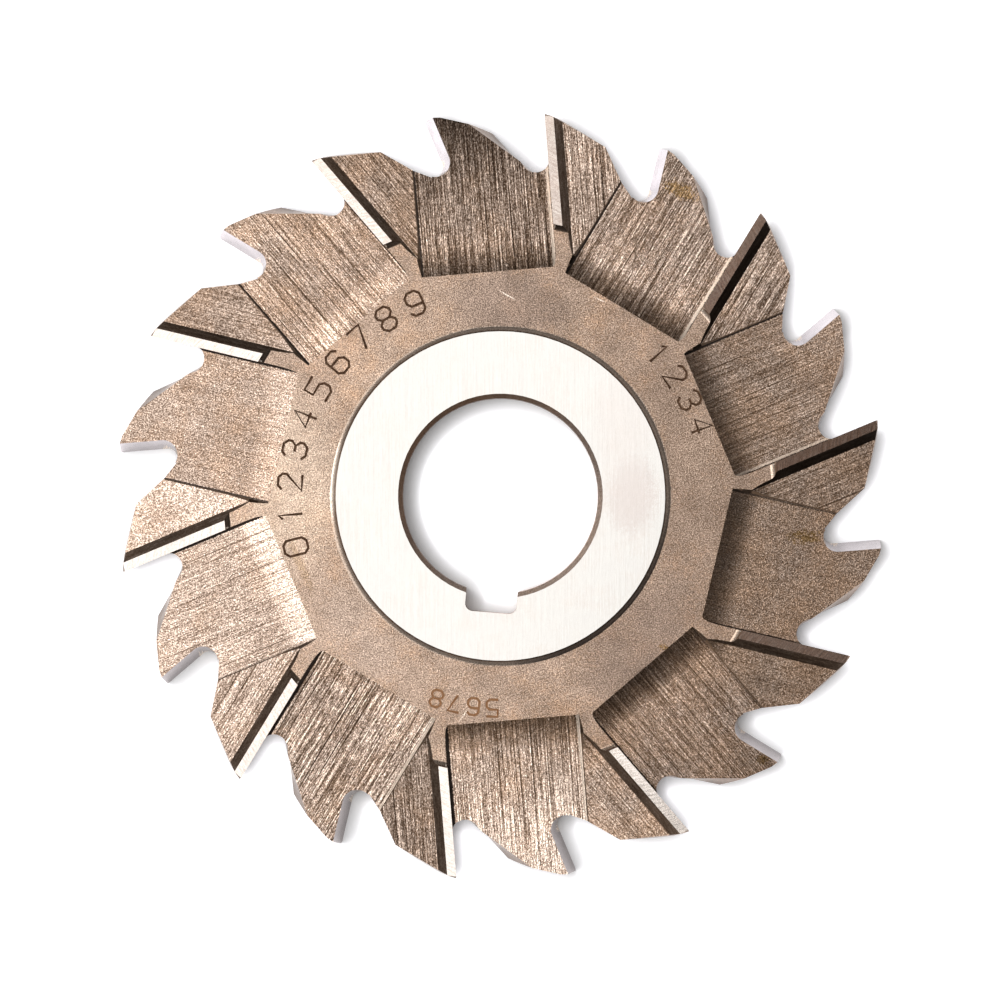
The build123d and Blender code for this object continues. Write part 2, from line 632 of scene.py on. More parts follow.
@dataclass(frozen=True)
class BurntMark:
    """Walls of the engraved numbers: steel burnt brown.

    Attributes:
        name: Name of the material.
        colour: The burnt metal's colour.
        bare: Colour of the specks that show bare metal.
        faint: Colour of the numbers that are only faintly burnt.
        faint_from: Where those numbers begin along Y, in millimetres.
        roughness: How blurred its reflections are.
    """

    name: str = "engraved_numbers"
    colour: Colour = (0.19, 0.11, 0.07)
    bare: Colour = (0.45, 0.33, 0.23)
    faint: Colour = (0.62, 0.42, 0.27)
    faint_from: float = -20.0
    roughness: float = 0.6

    def material(self) -> Material:
        """Builds the material.

        Returns:
            The material.
        """
        shader = Shader(bpy.data.materials.new(self.name))
        x, y, z = shader.object_point()
        speck = shader.noise(shader.vector(x, y, z), 4.0, 2.0, 0.6)
        colour = shader.mix(self.colour, self.bare, (0.3 + speck * 0.3).held())
        faintness = y.step(self.faint_from, self.faint_from - 2.0) * 0.8
        colour = shader.mix(colour, self.faint, faintness)
        return shader.metal(colour, self.roughness + speck * 0.03, speck * 0.005)


@dataclass(frozen=True)
class ToothLooks:
    """How the ground surfaces of the ten teeth of a side look, clockwise from the top of the front.

    Tones are factors on the metal's own colour. They are painted light and shade: each surface is
    made lighter or darker, tooth by tooth, by how the lamp falls on it.

    Attributes:
        flute: Tone of the flute, painted light and shade.
        rise: How much lighter the flute grows inward, for each 8 mm, as painted light.
        foot: Tone of the flute's inner end, beside that of the flute: painted light and shade
            on the wheel's run-out.
        flute_lines: Strength of the flute's grinding lines.
        back: Tone of the back, painted light and shade.
        back_lines: Strength of the back's grinding lines.
        land: Tone of the land, painted light and shade.
        slope: Tone of the slope behind the land: painted shade, darkest where it reflects the dark room.
        corner: Tone of the turned corner at the land's inner end: painted highlight where
            it faces the lamp, painted shade where it faces away.
        gold: How golden its tarnish is.
        foot_gold: How much more golden it is at the flute's inner end.
        strip: How much of a painted pale highlight lies beside the land's edge.
        line: Width of the painted dark shade line along the land's edge, in millimetres.
        seam: How dark the painted shade at the flute's other border is, or below 0 how pale
            its painted highlight.
    """

    flute: Ten = (0.44, 0.76, 0.64, 0.56, 0.61, 1.08, 0.80, 0.97, 0.78, 0.76)
    rise: Ten = (0.62, 0.15, -0.15, -0.08, 0.20, -0.30, 0.0, 0.0, 0.0, 0.0)
    foot: Ten = (0.45, 0.48, 1.15, 0.92, 0.40, 0.70, 1.12, 1.45, 1.22, 1.55)
    flute_lines: Ten = (1.35, 1.15, 0.55, 0.2, 0.95, 1.0, 1.4, 0.55, 0.28, 0.9)
    back: Ten = (0.76, 0.71, 0.54, 0.54, 0.84, 0.63, 0.98, 1.08, 0.66, 0.60)
    back_lines: Ten = (1.1, 1.1, 0.6, 0.3, 0.7, 1.15, 0.7, 0.25, 0.5, 1.0)
    land: Ten = (0.84, 0.53, 0.49, 0.54, 1.05, 0.98, 0.95, 0.98, 0.98, 0.95)
    slope: Ten = (0.48, 0.06, 0.063, 0.26, 0.46, 0.37, 0.41, 0.53, 0.30, 0.39)
    corner: Ten = (0.2, 1.2, 1.2, 1.2, 1.0, 0.7, 0.4, 0.3, 0.3, 0.3)
    gold: Ten = (0.2, 0.3, 0.8, 1.1, 1.1, 0.4, 0.1, 0.1, 0.6, 0.8)
    foot_gold: Ten = (0.4, 0.9, 0.5, 0.3, 0.6, 1.6, 0.8, 0.0, 0.0, 0.2)
    strip: Ten = (0.6, 1.0, 0.5, 0.0, 0.0, 0.0, 0.0, 0.0, 0.0, 0.0)
    line: Ten = (0.05, 0.08, 0.10, 0.14, 0.20, 0.45, 0.40, 0.33, 0.27, 0.12)
    seam: Ten = (0.95, 1.0, 1.0, 0.75, 0.35, -0.7, -0.6, 0.4, 0.9, 1.0)

STEEL: Colour = (0.36, 0.275, 0.222)
CREST: Colour = (0.46, 0.375, 0.32)
BROWN: Colour = (0.24, 0.148, 0.095)
GOLDEN: Colour = (0.38, 0.222, 0.125)
RUST: Colour = (0.17, 0.095, 0.03)
PALE: Colour = (0.62, 0.52, 0.44)
GROUND = Marks(width=0.17, length=12.0, relief=0.006, shade=0.46, bead_length=0.33, score=1.6)
FINE = Marks(width=0.14, length=9.0, relief=0.0004, shade=0.02)
SCORED = Marks(width=0.2, length=9.0, relief=0.0004, shade=0.03, bead=0.1)
HATCH = Marks(width=0.3, length=2.0, relief=0.001, shade=0.07, bead=0.3)
GROUND_RIM = Marks(width=0.2, length=9.0, relief=0.002, shade=0.15, bead=0.2)
NO_MARKS = Marks(width=0.3, length=0.3, relief=0.0, shade=0.03)

WEB_STAINS_AND_SHADE = (
    # A pale patch at the web's left: partly pale clouds in the metal, partly painted light toward the lamp
    StainOrShade(-27.0, -1.0, 14.0, 7.0, 90.0, (0.46, 0.36, 0.28), 0.5, 0.25),
    StainOrShade(-17.0, -19.0, 9.0, 4.0, 130.0, (0.40, 0.33, 0.29), 0.15, 0.3),
    # Painted shade: dark patches at the web's top and at its lower right
    StainOrShade(-1.0, 25.0, 10.0, 5.5, 0.0, (0.20, 0.145, 0.115), 0.75, 0.2),
    StainOrShade(20.0, -17.0, 12.0, 6.0, 50.0, (0.20, 0.145, 0.115), 0.5, 0.2),
    StainOrShade(-25.1, -11.2, 4.0, 0.7, 118.0, RUST, 0.4, 0.5),
    StainOrShade(22.8, -17.7, 0.6, 0.5, 0.0, RUST, 0.8, 0.5),
    StainOrShade(-1.4, 26.1, 1.6, 0.12, -25.0, PALE, 0.8, 0.2),
    StainOrShade(10.8, 26.5, 1.1, 0.1, -19.0, PALE, 0.7, 0.2),
    StainOrShade(-2.4, -29.0, 1.2, 0.1, 60.0, PALE, 0.6, 0.2),
)
FLUTE_STAINS = (
    StainOrShade(19.9, 41.6, 2.6, 1.1, -20.0, (0.31, 0.185, 0.075), 0.85, 0.4),
    StainOrShade(40.1, -1.8, 2.4, 0.9, 8.0, (0.20, 0.115, 0.035), 0.8, 0.6),
    StainOrShade(37.0, -31.1, 0.9, 0.7, 0.0, RUST, 0.8, 0.6),
)
# Painted shade: grey patches on the right of the polished hub, where it reflects less of the lamp
HUB_PAINTED_SHADE = (
    StainOrShade(17.0, 1.5, 6.5, 4.2, 92.0, (0.335, 0.295, 0.275), 0.7, 0.12),
    StainOrShade(15.0, 11.0, 9.0, 5.0, 95.0, (0.37, 0.34, 0.32), 0.6, 0.12),
)
# Painted light on the turned blends: a pale highlight at the hub's left, where it faces the lamp, and
# near-black painted shade at its lower right
BLEND_PAINTED_LIGHT = (
    StainOrShade(-21.9, 1.5, 8.0, 1.0, 92.0, PALE, 0.9, 0.05),
    StainOrShade(14.0, -13.0, 18.0, 6.5, 52.0, (0.07, 0.05, 0.04), 0.85, 0.05),
)

GROUND_BACK = SteelFinish(
    "ground_backs", STEEL, BROWN, 0.12, 0.27, GROUND, grain_shade=0.45, golden=0.25,
    stains_and_shade=FLUTE_STAINS, bare=CREST)
FINISHES: "dict[Zone, SteelFinish | BurntMark]" = {
    Zone.HUB: SteelFinish(
        "hub_ring", (0.382, 0.367, 0.348), STEEL, 0.02, 0.15, SCORED, grain_relief=0.0002,
        grain_shade=0.01, cloud_shade=0.01, golden=0.0, streaks=0.18, stains_and_shade=HUB_PAINTED_SHADE),
    # Painted light: the web grows lighter toward the lamp on the left
    Zone.WEB: SteelFinish(
        "blasted_web", (0.295, 0.217, 0.167), BROWN, 0.12, 0.32, NO_MARKS, grain_relief=0.005,
        grain_shade=0.46, cloud_shade=0.12, golden=0.3, painted_light_gradient=(-0.0035, -0.001), stains_and_shade=WEB_STAINS_AND_SHADE),
    Zone.BLEND: SteelFinish(
        "turned_corners", (0.34, 0.27, 0.22), BROWN, 0.1, 0.25, FINE, grain_shade=0.12,
        stains_and_shade=BLEND_PAINTED_LIGHT),
    # The lands' tones paint light and shade tooth by tooth, and a low tone browns them too
    Zone.LAND: SteelFinish(
        "side_lands", (0.46, 0.42, 0.385), (0.28, 0.165, 0.115), 0.05, 0.18, HATCH, grain_relief=0.0005,
        grain_shade=0.045, cloud_shade=0.05, golden=0.05, shade_browning=1.6, lean=0.025),
    # Painted shade: the slopes behind the lands are coloured darker than the ground steel, for the dark room
    # they reflect; their tones darken them further tooth by tooth
    Zone.SLOPE: SteelFinish(
        "slopes_behind_lands", (0.26, 0.20, 0.16), BROWN, 0.2, 0.3, Marks(0.3, 3.0, 0.001, 0.2),
        grain_relief=0.001),
    Zone.BACK: GROUND_BACK,
    Zone.FLUTE: replace(GROUND_BACK, name="ground_flutes", seams=Seams()),
    # Painted highlight: the fillet under the side edge has a colour far paler than the ground steel, for the
    # lamp's light that it catches
    Zone.UNDERCUT: SteelFinish("walls_under_side_edges", (0.85, 0.74, 0.64), STEEL, 0.1, 0.22, FINE),
    # Painted light: the cutting faces grow a little lighter along +Y
    Zone.FACE: SteelFinish(
        "cutting_faces", (0.45, 0.41, 0.42), STEEL, 0.02, 0.2, FINE, grain_shade=0.05, golden=0.0,
        painted_light_gradient=(0.0, 0.005)),
    Zone.RIM: SteelFinish(
        "relieved_rim", (0.22, 0.172, 0.14), BROWN, 0.1, 0.32, GROUND_RIM, metallic=0.9),
    Zone.GULLET: SteelFinish("gullets", (0.30, 0.24, 0.20), BROWN, 0.2, 0.3, FINE),
    # Painted shade: the bore's chamfer grows darker toward the upper left, the side that faces away from the
    # lamp
    Zone.BORE: SteelFinish(
        "bore_and_keyway", (0.24, 0.188, 0.156), BROWN, 0.25, 0.28, FINE, painted_light_gradient=(0.045, -0.04)),
    # Painted shade: the rounded edges and steep inner walls are coloured near black, for the dark they lie
    # in
    Zone.EDGE: SteelFinish("dark_edges_and_walls", (0.06, 0.045, 0.035), BROWN, 0.2, 0.5, FINE, metallic=0.0),
    Zone.MARK: BurntMark(),
}


GLYPHS: dict[str, tuple[tuple[Point, ...], ...]] = {
    "0": (((1, 0), (3, 0), (4, 1), (4, 5), (3, 6), (1, 6), (0, 5), (0, 1), (1, 0)),),
    "1": (((1, 5), (2, 6), (2, 0)),),
    "2": (((0, 5), (1, 6), (3, 6), (4, 5), (4, 4), (0, 0), (4, 0)),),
    "3": (((0, 5), (1, 6), (3, 6), (4, 5), (4, 4), (3, 3), (4, 2), (4, 1), (3, 0), (1, 0), (0, 1)),
          ((1.5, 3), (3, 3))),
    "4": (((3, 0), (3, 6), (0, 2), (4, 2)),),
    "5": (((4, 6), (0, 6), (0, 3.5), (3, 3.5), (4, 2.5), (4, 1), (3, 0), (0, 0)),),
    "6": (((4, 5), (3, 6), (1, 6), (0, 5), (0, 1), (1, 0), (3, 0), (4, 1), (4, 2.5), (3, 3.5), (0.2, 3.5)),),
    "7": (((0, 6), (4, 6), (1.5, 0)),),
    "8": (((1, 3), (0, 4), (0, 5), (1, 6), (3, 6), (4, 5), (4, 4), (3, 3), (1, 3)),
          ((1, 3), (0, 2), (0, 1), (1, 0), (3, 0), (4, 1), (4, 2), (3, 3))),
    "9": (((0, 1), (1, 0), (3, 0), (4, 1), (4, 5), (3, 6), (1, 6), (0, 5), (0, 3.5), (1, 2.5), (3.8, 2.5)),),
}


@dataclass(frozen=True)
class NumberArc:
    """Plain digits along an arc of the web, with their tops outward.

    Attributes:
        digits: The digits, clockwise.
        start: Angle of the first digit, in degrees from X.
        step: Angle from each digit to the next.
        height: Height of a digit, in millimetres.
        radius: Distance of the digits' middles from the cutter's axis, in millimetres.
    """

    digits: str
    start: float
    step: float
    height: float
    radius: float = 27.4

    def strokes(self) -> list[list[Point]]:
        """Gives the strokes of all digits.

        Returns:
            The points of each stroke, in millimetres.
        """
        strokes = []
        for place, digit in enumerate(self.digits):
            angle = math.radians(self.start - place * self.step)
            outward, onward = (math.cos(angle), math.sin(angle)), (math.sin(angle), -math.cos(angle))
            for glyph in GLYPHS[digit]:
                strokes.append([self._placed(point, outward, onward) for point in glyph])
        return strokes

    def _placed(self, point: Point, outward: Point, onward: Point) -> Point:
        """Lays one point of a glyph, which is 4 wide and 6 high, on the arc."""
        right, up = (point[0] - 2) * self.height / 6, self.radius + (point[1] - 3) * self.height / 6
        return right * onward[0] + up * outward[0], right * onward[1] + up * outward[1]


@dataclass(frozen=True)
class Engraving:
    """Grooves of the engraved numbers, made by Geometry Nodes along the strokes of the digits.

    Attributes:
        arcs: The rows of digits.
        level: Level of the web that they are cut into, in millimetres.
        width: Width of the grooves, in millimetres.
    """

    arcs: tuple[NumberArc, ...] = (
        NumberArc("0123456789", 199.0, 8.9, 3.1),
        NumberArc("1234", 46.9, 7.5, 2.9, 27.6),
        NumberArc("5678", 272.8, 5.1, 2.2, 27.6),
    )
    level: float = 1.9
    width: float = 0.36

    def build(self, material: Material) -> bpy.types.Object:
        """Makes the solid that the engraver takes away.

        Args:
            material: Material of the grooves' walls.

        Returns:
            The solid, with its modifier live.
        """
        work = bmesh.new()
        for stroke in (stroke for arc in self.arcs for stroke in arc.strokes()):
            closed = stroke[0] == stroke[-1]
            ends = stroke[:-1] if closed else stroke
            points = [work.verts.new((x * MM, y * MM, self.level * MM)) for x, y in ends]
            points += points[:1] if closed else []
            for first, second in zip(points, points[1:]):
                work.edges.new((first, second))
        mesh = bpy.data.meshes.new("number_strokes")
        work.to_mesh(mesh)
        work.free()
        grooves = add_object("number_strokes", mesh)
        modifier = grooves.modifiers.new("grooves", "NODES")
        modifier.node_group = self._nodes()
        sockets = {item.name: item.identifier for item in modifier.node_group.interface.items_tree
                   if item.in_out == "INPUT"}
        modifier[sockets["Width"]] = self.width * MM
        modifier[sockets["Material"]] = material
        return grooves

    @staticmethod
    def _nodes() -> bpy.types.NodeTree:
        """Builds the nodes that run a V-shaped cutter along each stroke.

        Returns:
            The node group.
        """
        group = bpy.data.node_groups.new("groove_along_strokes", "GeometryNodeTree")
        for name, flow, kind in (("Strokes", "INPUT", "Geometry"), ("Width", "INPUT", "Float"),
                                 ("Material", "INPUT", "Material"), ("Grooves", "OUTPUT", "Geometry")):
            group.interface.new_socket(name, in_out=flow, socket_type=f"NodeSocket{kind}")
        tree = Tree(group)
        given = tree.add("NodeGroupInput").outputs
        path = tree.add("GeometryNodeMeshToCurve", None, {"Mesh": given["Strokes"]})
        inputs = {"Curve": path.outputs["Curve"]}
        upright = tree.add("GeometryNodeSetCurveNormal", {"mode": "Z_UP"}, inputs)
        radius = Signal(tree, given["Width"]) * 0.5
        profile = tree.add("GeometryNodeCurvePrimitiveCircle", None, {"Resolution": 4, "Radius": radius})
        inputs = {"Curve": upright.outputs["Curve"], "Profile Curve": profile.outputs["Curve"],
                  "Fill Caps": True}
        sweep = tree.add("GeometryNodeCurveToMesh", None, inputs)
        whole = tree.add("GeometryNodeRealizeInstances", None, {"Geometry": sweep.outputs["Mesh"]})
        inputs = {"Geometry": whole.outputs["Geometry"], "Material": given["Material"]}
        painted = tree.add("GeometryNodeSetMaterial", None, inputs)
        tree.add("NodeGroupOutput", None, {"Grooves": painted.outputs["Geometry"]})
        return group


@dataclass
class CutterBody:
    """The cutter's one solid: a copy of the model's mesh with worn edges, finished zone by zone.

    Lengths are in millimetres. The levels and distances are those of the model.
    """

    tooth_pairs: int = 10
    hub_level: float = 2.5
    hub_radius: float = 21.4
    land_level: float = 2.46
    web_level: float = 1.9
    web_inner_radius: float = 22.249
    web_outer_radius: float = 35.151
    recess_radius: float = 36.0
    blend_radius: float = 0.9
    flute_level: float = 1.4
    flute_start: float = 29.15
    back_level: float = 1.53
    back_start: float = 29.95
    wheel_radius: float = 15.0
    bore_radius: float = 12.7
    bore_reach: float = 15.5
    land_start: float = 9.712
    land_width: float = 1.16
    slope_width: float = 1.12
    flute_width: float = 17.8
    edge_wear: float = 0.055
    edge_angle: float = 22.0
    joined_within: float = 0.002
    flat_within: float = 0.3
    smooth_below: float = 28.0
    hub_tilt: float = 5.0
    rim_start: float = 41.0
    root_start: float = 40.0
    root_end: float = 45.5
    tooth_start: float = 20.0
    tooth_end: float = 51.0
    centre_gold: float = 0.2
    # Painted shade: each relieved rim strip grows darker toward the side of the cutter that it faces away
    # from
    rim_tone: float = 0.8
    rim_shade_gradient: float = 0.14
    rise_length: float = 8.0
    looks: ToothLooks = ToothLooks()

    @property
    def frames(self) -> list[ToothFrame]:
        """Gives each tooth's frame, those of the front first."""
        return [ToothFrame(side, index) for side in Side for index in range(self.tooth_pairs)]

    def build(self) -> bpy.types.Object:
        """Makes the piece, with its zones as material places and its edges worn round.

        Returns:
            The piece, not yet dressed.
        """
        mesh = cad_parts[NODE].data.copy()
        mesh.name = "cutter_body"
        mesh.materials.clear()
        self._join(mesh)
        self._sort_zones(mesh)
        piece = add_object("cutter_body", mesh)
        for zone in Zone:
            mesh.materials.append(FINISHES[zone].material())
        wear = piece.modifiers.new("wear", "BEVEL")
        wear.width = self.edge_wear * MM
        wear.segments = 2
        wear.limit_method = "ANGLE"
        wear.angle_limit = math.radians(self.edge_angle)
        # The rounded edges take the near-black edge colour: painted shade
        wear.material = int(Zone.EDGE)
        engraving = piece.modifiers.new("engraving", "BOOLEAN")
        engraving.operation = "DIFFERENCE"
        engraving.solver = "EXACT"
        engraving.use_self = True
        engraving.material_mode = "TRANSFER"
        engraving.object = Engraving().build(mesh.materials[Zone.MARK])
        return piece

    def _join(self, mesh: bpy.types.Mesh) -> None:
        """Joins the loose triangles of the model and makes flat faces whole.

        Args:
            mesh: The copy of the model's mesh.
        """
        work = bmesh.new()
        work.from_mesh(mesh)
        bmesh.ops.remove_doubles(work, verts=work.verts, dist=self.joined_within * MM)
        bmesh.ops.dissolve_degenerate(work, edges=work.edges, dist=self.joined_within * MM)
        limit = math.radians(self.flat_within)
        bmesh.ops.dissolve_limit(work, angle_limit=limit, verts=work.verts, edges=work.edges)
        work.to_mesh(mesh)
        work.free()

    def _sort_zones(self, mesh: bpy.types.Mesh) -> None:
        """Gives each face the material place of its zone, by where it lies and how it faces.

        Args:
            mesh: The model's mesh, with its flat faces whole.
        """
        middles = read(mesh.polygons, "center", 3) / MM
        normals = read(mesh.polygons, "normal", 3)
        radius = np.hypot(middles[:, 0], middles[:, 1])
        level = np.abs(middles[:, 2])
        facing = np.abs(normals[:, 2])
        leaning, flat, level_face = (facing > least for least in (0.2, 0.94, 0.99))
        below_web = level < self.web_level - 0.005
        zones = np.where(leaning, int(Zone.RIM), int(Zone.GULLET))
        # Steep walls inside the rim take the near-black edge colour: painted shade
        zones[leaning & (radius < self.rim_start)] = Zone.EDGE
        zones[(radius < self.recess_radius + 1.0) & ~below_web] = Zone.WEB
        zones[flat & below_web & (level > 1.0)] = Zone.BACK
        for tooth in self.frames:
            across, along, height = tooth.local(middles).T
            faces_across, _, faces_out = tooth.local(normals).T
            past_edge = across - self.land_start
            past_land = past_edge - self.land_width
            outside = within(along, self.flute_start - 0.5, self.tooth_end)
            zones[outside & (faces_across < -0.9) & within(past_edge, -1.3, 1.3)] = Zone.FACE
            in_root = outside & within(along, self.root_start, self.root_end)
            in_root &= within(past_edge, -3.0, 1.3)
            zones[in_root & (faces_across < -0.45) & (facing < 0.5)] = Zone.FACE
            near_wall = outside & (height > 1.3) & within(past_edge, -1.7, 0.7)
            zones[near_wall & (faces_across < -0.15) & (past_edge < 0.4)] = Zone.UNDERCUT
            in_flute = outside & (height > 1.2) & within(past_edge, -self.flute_width, 0.1)
            zones[in_flute & below_web & (faces_out > 0.94)] = Zone.FLUTE
            zones[near_wall & in_flute & (faces_across < 0.0) & (faces_out > 0.5)] = Zone.FLUTE
            on_slope = outside & (height > 1.4) & within(past_land, 0.0, self.slope_width)
            zones[on_slope & within(faces_out, 0.7, 0.85) & (faces_across > 0.5)] = Zone.SLOPE
        zones[(zones == Zone.WEB) & (level > self.web_level + 0.01)] = Zone.BLEND
        zones[level_face & (level > self.land_level) & (radius > self.web_outer_radius)] = Zone.LAND
        zones[(radius < self.bore_reach) & (abs(level - self.web_level) > 0.01)] = Zone.BORE
        zones[level_face & (level > self.hub_level - 0.01) & (radius < self.hub_radius)] = Zone.HUB
        mesh.polygons.foreach_set("material_index", zones.astype(np.int32))

    def dress(self, mesh: bpy.types.Mesh) -> None:
        """Lays the grinding map over the finished mesh and sets its true normals.

        Args:
            mesh: The cutter's mesh, with a material place for each zone.
        """
        middles = read(mesh.polygons, "center", 3) / MM
        zones = read(mesh.polygons, "material_index")
        self._mark_sharp(mesh, zones)
        owner = np.repeat(np.arange(len(middles)), read(mesh.polygons, "loop_total"))
        places = read(mesh.vertices, "co", 3)[read(mesh.loops, "vertex_index")] / MM
        normals = read(mesh.corner_normals, "vector", 3)
        zone, middle = zones[owner], middles[owner]
        placed, finish = self._centre_marks(zone, middle, places)
        seams = np.zeros_like(finish)
        nearest = self._tooth_of(middle)
        toothed = ~np.isin(zone, (Zone.HUB, Zone.WEB, Zone.BORE, Zone.MARK))
        toothed &= np.hypot(middle[:, 0], middle[:, 1]) > self.web_inner_radius + 1.0
        for number, tooth in enumerate(self.frames):
            rows = np.where((nearest == number) & toothed)[0]
            local = tooth.local(places[rows])
            placed[rows], finish[rows] = self._tooth_marks(number, zone[rows], local)
            look = number % self.tooth_pairs
            # Strengths of the painted highlight and shade along the flute's borders
            seams[rows] = self.looks.strip[look], self.looks.line[look], self.looks.seam[look]
            self._wheel_normals(tooth, zone[rows], local, normals, rows)
        # Painted shade: the relieved rim strips grow darker toward the side they face away from
        rim = zone == Zone.RIM
        outward = places[rim, 2] * np.sign(normals[rim, 2])
        finish[rim, 1] = self.rim_tone + self.rim_shade_gradient * outward
        self._blend_normals(zone, places, normals)
        grind = mesh.uv_layers.new(name=GRIND_MAP)
        grind.data.foreach_set("uv", placed.astype(np.float32).ravel())
        for name, rows in ((TOOTH_FINISH_AND_LIGHT, finish), (TOOTH_SEAMS, seams)):
            layer = mesh.attributes.new(name, "FLOAT_VECTOR", "CORNER")
            layer.data.foreach_set("vector", rows.astype(np.float32).ravel())
        mesh.normals_split_custom_set(normals.tolist())

    def _mark_sharp(self, mesh: bpy.types.Mesh, zones: Rows) -> None:
        """Marks each edge sharp where two zones meet or the surface turns.

        Args:
            mesh: The finished mesh.
            zones: Zone of each face.
        """
        work = bmesh.new()
        work.from_mesh(mesh)
        for face in work.faces:
            face.smooth = True
        limit = math.radians(self.smooth_below)
        for edge in work.edges:
            first, second = edge.link_faces
            apart = zones[first.index] != zones[second.index]
            edge.smooth = not apart and edge.calc_face_angle() < limit
        work.to_mesh(mesh)
        work.free()

    def _tooth_of(self, points: Rows) -> Rows:
        """Finds the tooth whose flute, land or back holds each point.

        Args:
            points: Rows of x, y and z, in millimetres.

        Returns:
            The tooth's number for each point.
        """
        best = np.zeros(len(points), int)
        reach = np.full(len(points), math.inf)
        for number, tooth in enumerate(self.frames):
            across, along, height = tooth.local(points).T
            past = across - self.land_start + self.flute_width
            held = (height > 0.0) & (along > self.tooth_start) & (past >= 0.0) & (past < reach)
            best[held] = number
            reach[held] = past[held]
        return best

    def _centre_marks(self, zone: Rows, middle: Rows, places: Rows) -> tuple[Rows, Rows]:
        """Gives the grinding map and the finish of the hub, web and bore.

        Args:
            zone: Zone of each corner's face.
            middle: Middle of each corner's face, in millimetres.
            places: Each corner, in millimetres.

        Returns:
            Map places, and rows of line strength, tone and gold.
        """
        across, along = turned(places[:, 0], places[:, 1], math.radians(self.hub_tilt))
        placed = np.stack([across, along], axis=1)
        start = np.arctan2(middle[:, 1], middle[:, 0])
        sweep = np.arctan2(places[:, 1], places[:, 0]) - start
        sweep = (sweep + math.pi) % (2 * math.pi) - math.pi
        bore = zone == Zone.BORE
        placed[bore, 0] = places[bore, 2]
        placed[bore, 1] = (start + sweep)[bore] * self.bore_radius
        finish = np.tile(np.array([1.0, 1.0, self.centre_gold]), (len(places), 1))
        return placed, finish

    def _tooth_marks(self, number: int, zone: Rows, local: Rows) -> tuple[Rows, Rows]:
        """Gives the grinding map and the finish around one tooth.

        Args:
            number: The tooth's number, which keeps its marks apart from the others'.
            zone: Zone of each corner's face.
            local: Each corner in the tooth's own directions, in millimetres.

        Returns:
            Map places, and rows of line strength, tone and gold.
        """
        across, along, height = local.T
        placed = np.stack([across, along], axis=1)
        # The lands' marks run aslant of the other marks
        crossing = zone == Zone.LAND
        placed[crossing] = np.stack([along * 0.9 + across * 0.5, across], axis=1)[crossing]
        standing = np.isin(zone, (Zone.FACE, Zone.RIM, Zone.GULLET, Zone.EDGE))
        placed[standing, 0] = height[standing]
        placed[:, 0] += MAP_STEP * (number + 1)
        looks, look = self.looks, number % self.tooth_pairs
        finish = np.tile(np.array([1.0, 1.0, looks.gold[look]]), (len(zone), 1))
        # Painted light and shade: the flute's tone changes along the tooth, and again over the wheel's
        # run-out at its inner end
        way_out = self._run_out(self.flute_level)
        inward = np.sqrt(np.clip((self.flute_start + way_out - along) / way_out, 0.0, 1.0))
        tone = 1.0 + looks.rise[look] * (self.root_start - along) / self.rise_length
        tone *= 1.0 + (looks.foot[look] - 1.0) * inward
        flute = zone == Zone.FLUTE
        finish[flute, 0] = looks.flute_lines[look]
        finish[flute, 1] = looks.flute[look] * tone[flute]
        finish[flute, 2] += looks.foot_gold[look] * inward[flute]
        # Painted light and shade: tones of the back, land, slope and turned corner, tooth by tooth
        finish[zone == Zone.BACK, :2] = looks.back_lines[look], looks.back[look]
        finish[zone == Zone.LAND, 1] = looks.land[look]
        finish[zone == Zone.SLOPE, 1] = looks.slope[look]
        finish[zone == Zone.BLEND, 1] = looks.corner[look]
        return placed, finish

    def _wheel_normals(self, tooth: ToothFrame, zone: Rows, local: Rows, normals: Rows,
                       rows: Rows) -> None:
        """Sets the normals of the flutes and backs from the wheel that ground them.

        Args:
            tooth: The tooth's frame.
            zone: Zone of each of its corners.
            local: Each of its corners in the tooth's own directions, in millimetres.
            normals: Normals of all corners, which are changed.
            rows: Where its corners are among all.
        """
        for kind, level, start in ((Zone.FLUTE, self.flute_level, self.flute_start),
                                   (Zone.BACK, self.back_level, self.back_start)):
            straight = start + self._run_out(level)
            chosen = zone == kind
            rise = np.clip((straight - local[chosen, 1]) / self.wheel_radius, 0.0, 0.5)
            c, s = math.cos(tooth.turn), math.sin(tooth.turn)
            normals[rows[chosen], 0] = -s * rise
            normals[rows[chosen], 1] = c * rise
            normals[rows[chosen], 2] = np.sqrt(1.0 - rise**2) * tooth.side.value

    def _run_out(self, level: float) -> float:
        """Gives the length of the wheel's way from a floor at this level up to the web."""
        depth = self.web_level - level
        return math.sqrt(self.wheel_radius**2 - (self.wheel_radius - depth) ** 2)

    def _blend_normals(self, zone: Rows, places: Rows, normals: Rows) -> None:
        """Sets the normals of the flat web and of the narrow blends at its rims.

        Args:
            zone: Zone of each corner.
            places: Each corner, in millimetres.
            normals: Normals of the corners, which are changed.
        """
        radius = np.hypot(places[:, 0], places[:, 1])
        chosen = (zone == Zone.WEB) | (zone == Zone.BLEND)
        recess_lean = np.clip((radius - self.web_outer_radius) / self.blend_radius, 0.0, 0.95)
        hub_lean = np.clip((self.web_inner_radius - radius) / self.blend_radius, 0.0, 0.95)
        at_hub = radius < (self.web_inner_radius + self.web_outer_radius) / 2
        lean = np.where(at_hub, hub_lean, -recess_lean) * (zone == Zone.BLEND)
        normals[chosen, 0] = (places[:, 0] / radius * lean)[chosen]
        normals[chosen, 1] = (places[:, 1] / radius * lean)[chosen]
        normals[chosen, 2] = (np.sqrt(1.0 - lean**2) * np.sign(places[:, 2]))[chosen]


